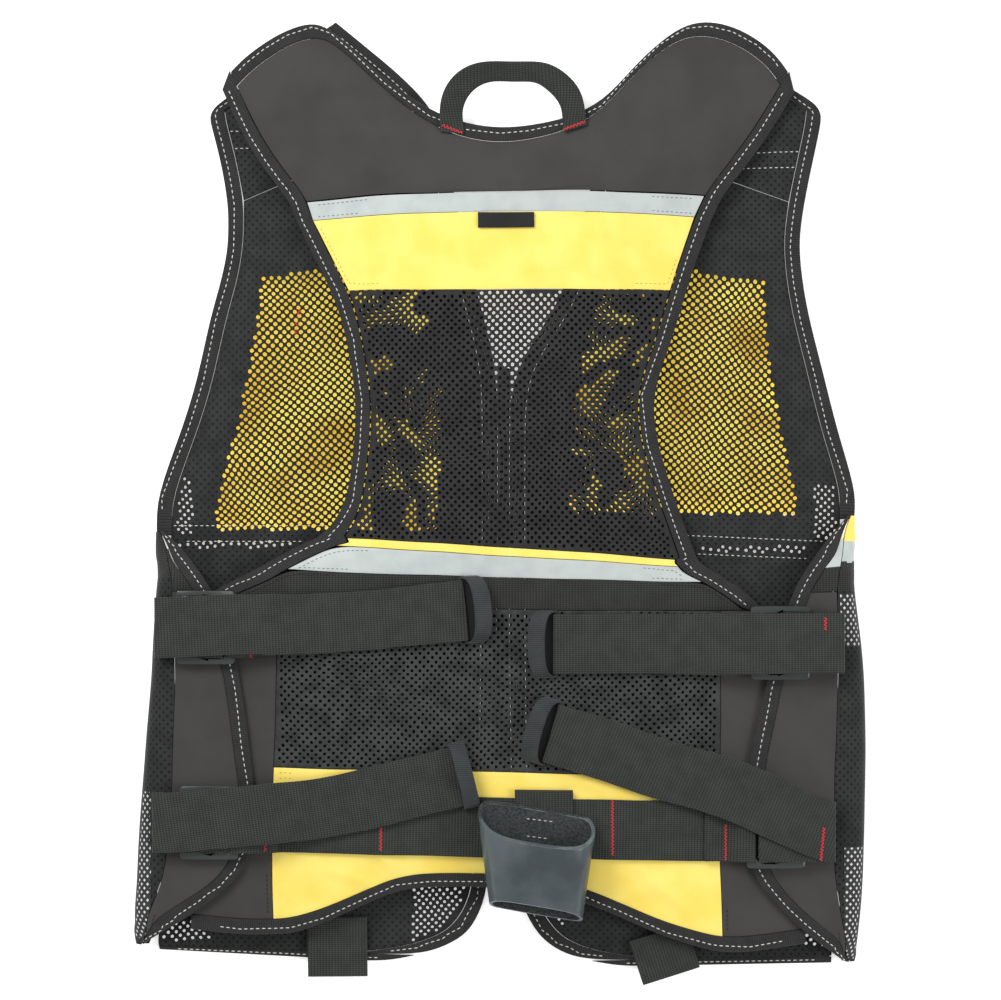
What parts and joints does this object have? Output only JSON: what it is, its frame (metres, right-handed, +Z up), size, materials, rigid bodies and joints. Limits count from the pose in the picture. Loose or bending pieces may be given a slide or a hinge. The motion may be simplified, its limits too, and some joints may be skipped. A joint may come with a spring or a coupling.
{
  "type": "utility work vest",
  "caption": "Utility work vest lying face down: padded yoke, mesh back, yellow panels, reflective tapes, waist straps with buckles, belt and leather hammer loop.",
  "frame": {"origin": "middle of the bounding box's base, on the ground under the vest", "axes": "+X to the right as it is seen from above, +Y towards the neck, +Z up from the front to the back"},
  "size_m": [0.467, 0.6154, 0.0583],
  "materials": {
    "grey_fabric": "matt padded cloth",
    "black_mesh": "matt open mesh",
    "black_binding": "matt woven binding",
    "black_webbing": "matt ribbed webbing",
    "yellow_fabric": "satin coated cloth",
    "reflective_tape": "satin tape",
    "ribbed_band": "matt ribbed cloth",
    "elastic_band": "matt woven elastic",
    "buckle_plastic": "satin moulded plastic",
    "loop_leather": "semi-gloss",
    "label_cloth": "matt"
  },
  "bodies": {
    "root": {"armhole_binding_left": "black_binding", "armhole_binding_right": "black_binding", "back_hem_binding": "black_binding", "back_mesh_lower": "black_mesh", "back_mesh_upper": "black_mesh", "back_side_strip_left": "grey_fabric", "back_side_strip_right": "grey_fabric", "back_yoke": "grey_fabric", "buckle_lower_left": "buckle_plastic", "buckle_lower_right": "buckle_plastic", "buckle_tab_upper_left": "black_webbing", "buckle_tab_upper_right": "black_webbing", "buckle_upper_left": "buckle_plastic", "buckle_upper_right": "buckle_plastic", "front_armhole_binding_left": "black_binding", "front_armhole_binding_right": "black_binding", "front_centre_binding_left": "black_binding", "front_centre_binding_right": "black_binding", "front_closure": "black_webbing", "front_hem_binding_left": "black_binding", "front_hem_binding_right": "black_binding", "front_mesh_left": "black_mesh", "front_mesh_right": "black_mesh", "front_shoulder_left": "black_mesh", "front_shoulder_right": "black_mesh", "hammer_loop": "loop_leather", "hammer_loop_hanger": "black_webbing", "hang_loop": "black_webbing", "hem_loop_left": "black_webbing", "hem_loop_right": "black_webbing", "keeper_lower_left": "elastic_band", "keeper_lower_right": "elastic_band", "keeper_upper_left": "elastic_band", "keeper_upper_right": "elastic_band", "label_tab": "label_cloth", "lower_yellow_panel": "yellow_fabric", "neck_binding": "black_binding", "pocket_left": "yellow_fabric", "pocket_right": "yellow_fabric", "side_band_left": "ribbed_band", "side_band_right": "ribbed_band", "side_edge_binding_left": "black_binding", "side_edge_binding_right": "black_binding", "side_mesh_left": "black_mesh", "side_mesh_right": "black_mesh", "side_panel_left": "grey_fabric", "side_panel_right": "grey_fabric", "side_tape_right": "reflective_tape", "strap_lower_left": "black_webbing", "strap_lower_right": "black_webbing", "strap_upper_left": "black_webbing", "strap_upper_right": "black_webbing", "waist_band": "ribbed_band", "waist_belt": "black_webbing", "waist_reflective_tape": "reflective_tape", "waist_yellow_piping": "yellow_fabric", "yoke_reflective_tape": "reflective_tape", "yoke_yellow_band": "yellow_fabric"}
  },
  "joints": []
}
